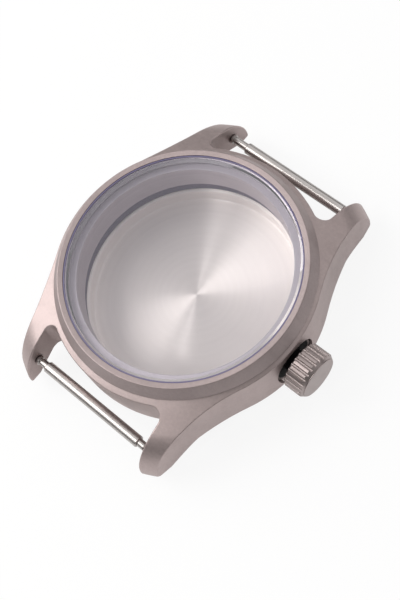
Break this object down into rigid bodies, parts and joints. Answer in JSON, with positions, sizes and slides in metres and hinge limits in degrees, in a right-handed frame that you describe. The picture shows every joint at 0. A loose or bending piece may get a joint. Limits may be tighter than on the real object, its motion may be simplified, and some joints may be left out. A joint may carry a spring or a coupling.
{
  "type": "empty watch case",
  "caption": "Round wristwatch case without movement: blasted metal body with four lugs, flat crystal, screw-down fluted crown, screwed back and spring bars.",
  "frame": {"origin": "on the case's axis, in the outer face of the case back, which is what the case rests on", "axes": "+Z along the case's axis, out through the crystal; +Y towards twelve o'clock between the upper lugs; +X towards three o'clock, along the crown's axis"},
  "size_m": [0.0391, 0.0452, 0.0125],
  "materials": {
    "blasted_titanium": "matte bead-blasted titanium, warm grey",
    "turned_titanium": "fine circular turning inside, warm pale grey",
    "sapphire": "clear polished flat crystal with bevelled edge",
    "gasket_plastic": "smooth dark blue-grey gasket",
    "dark_rubber": "smooth dark seal rubber",
    "polished_steel": "bright turned and polished steel",
    "spring_steel": "drawn spring wire"
  },
  "bodies": {
    "case": {"mid_case": "blasted_titanium", "bezel_ring": "blasted_titanium", "crystal": "sapphire", "crystal_gasket": "gasket_plastic", "crown_tube": "blasted_titanium"},
    "back_seal": {"case_back_gasket": "dark_rubber"},
    "back": {"case_back": "turned_titanium"},
    "crown_seal": {"stem_seal": "dark_rubber"},
    "crown_core": {"stem_socket": "polished_steel", "crown_spring": "spring_steel"},
    "crown_knob": {"crown": "blasted_titanium", "crown_gasket": "dark_rubber", "crown_retainer": "polished_steel"},
    "upper_left_pin": {"upper_bar_left_pin": "polished_steel"},
    "upper_right_pin": {"upper_bar_right_pin": "polished_steel"},
    "upper_tube": {"upper_bar_tube": "polished_steel", "upper_bar_spring": "spring_steel"},
    "lower_left_pin": {"lower_bar_left_pin": "polished_steel"},
    "lower_right_pin": {"lower_bar_right_pin": "polished_steel"},
    "lower_tube": {"lower_bar_tube": "polished_steel", "lower_bar_spring": "spring_steel"}
  },
  "joints": [
    {"name": "case_back_lift", "type": "slide", "parent": "case", "child": "back_seal", "axis": [0, 0, -1], "range_m": [0, 0.035]},
    {"name": "case_back_turn", "type": "hinge", "parent": "back_seal", "child": "back", "pos_m": [0, 0, 0], "axis": [0, 0, 1], "continuous": true},
    {"name": "crown_pull", "type": "slide", "parent": "case", "child": "crown_seal", "axis": [1, 0, 0], "range_m": [0, 0.0045]},
    {"name": "crown_turn", "type": "hinge", "parent": "crown_seal", "child": "crown_core", "pos_m": [0.0184, 0, 0.00615], "axis": [1, 0, 0], "continuous": true},
    {"name": "crown_screw_down", "type": "slide", "parent": "crown_core", "child": "crown_knob", "axis": [1, 0, 0], "range_m": [-0.00085, 0], "stiffness_N_per_m": 600, "springref_m": 0.001, "deforming": ["crown_spring"]},
    {"name": "upper_left_pin_press", "type": "slide", "parent": "case", "child": "upper_left_pin", "axis": [1, 0, 0], "range_m": [0, 0.001], "stiffness_N_per_m": 1500, "springref_m": -0.002, "deforming": ["upper_bar_spring"]},
    {"name": "upper_right_pin_press", "type": "slide", "parent": "case", "child": "upper_right_pin", "axis": [-1, 0, 0], "range_m": [0, 0.001], "stiffness_N_per_m": 1500, "springref_m": -0.002, "deforming": ["upper_bar_spring"]},
    {"name": "upper_tube_turn", "type": "hinge", "parent": "upper_right_pin", "child": "upper_tube", "pos_m": [0, 0.01997, 0.00501], "axis": [1, 0, 0], "continuous": true},
    {"name": "lower_left_pin_press", "type": "slide", "parent": "case", "child": "lower_left_pin", "axis": [1, 0, 0], "range_m": [0, 0.001], "stiffness_N_per_m": 1500, "springref_m": -0.002, "deforming": ["lower_bar_spring"]},
    {"name": "lower_right_pin_press", "type": "slide", "parent": "case", "child": "lower_right_pin", "axis": [-1, 0, 0], "range_m": [0, 0.001], "stiffness_N_per_m": 1500, "springref_m": -0.002, "deforming": ["lower_bar_spring"]},
    {"name": "lower_tube_turn", "type": "hinge", "parent": "case", "child": "lower_tube", "pos_m": [0, -0.01997, 0.00501], "axis": [1, 0, 0], "continuous": true}
  ]
}
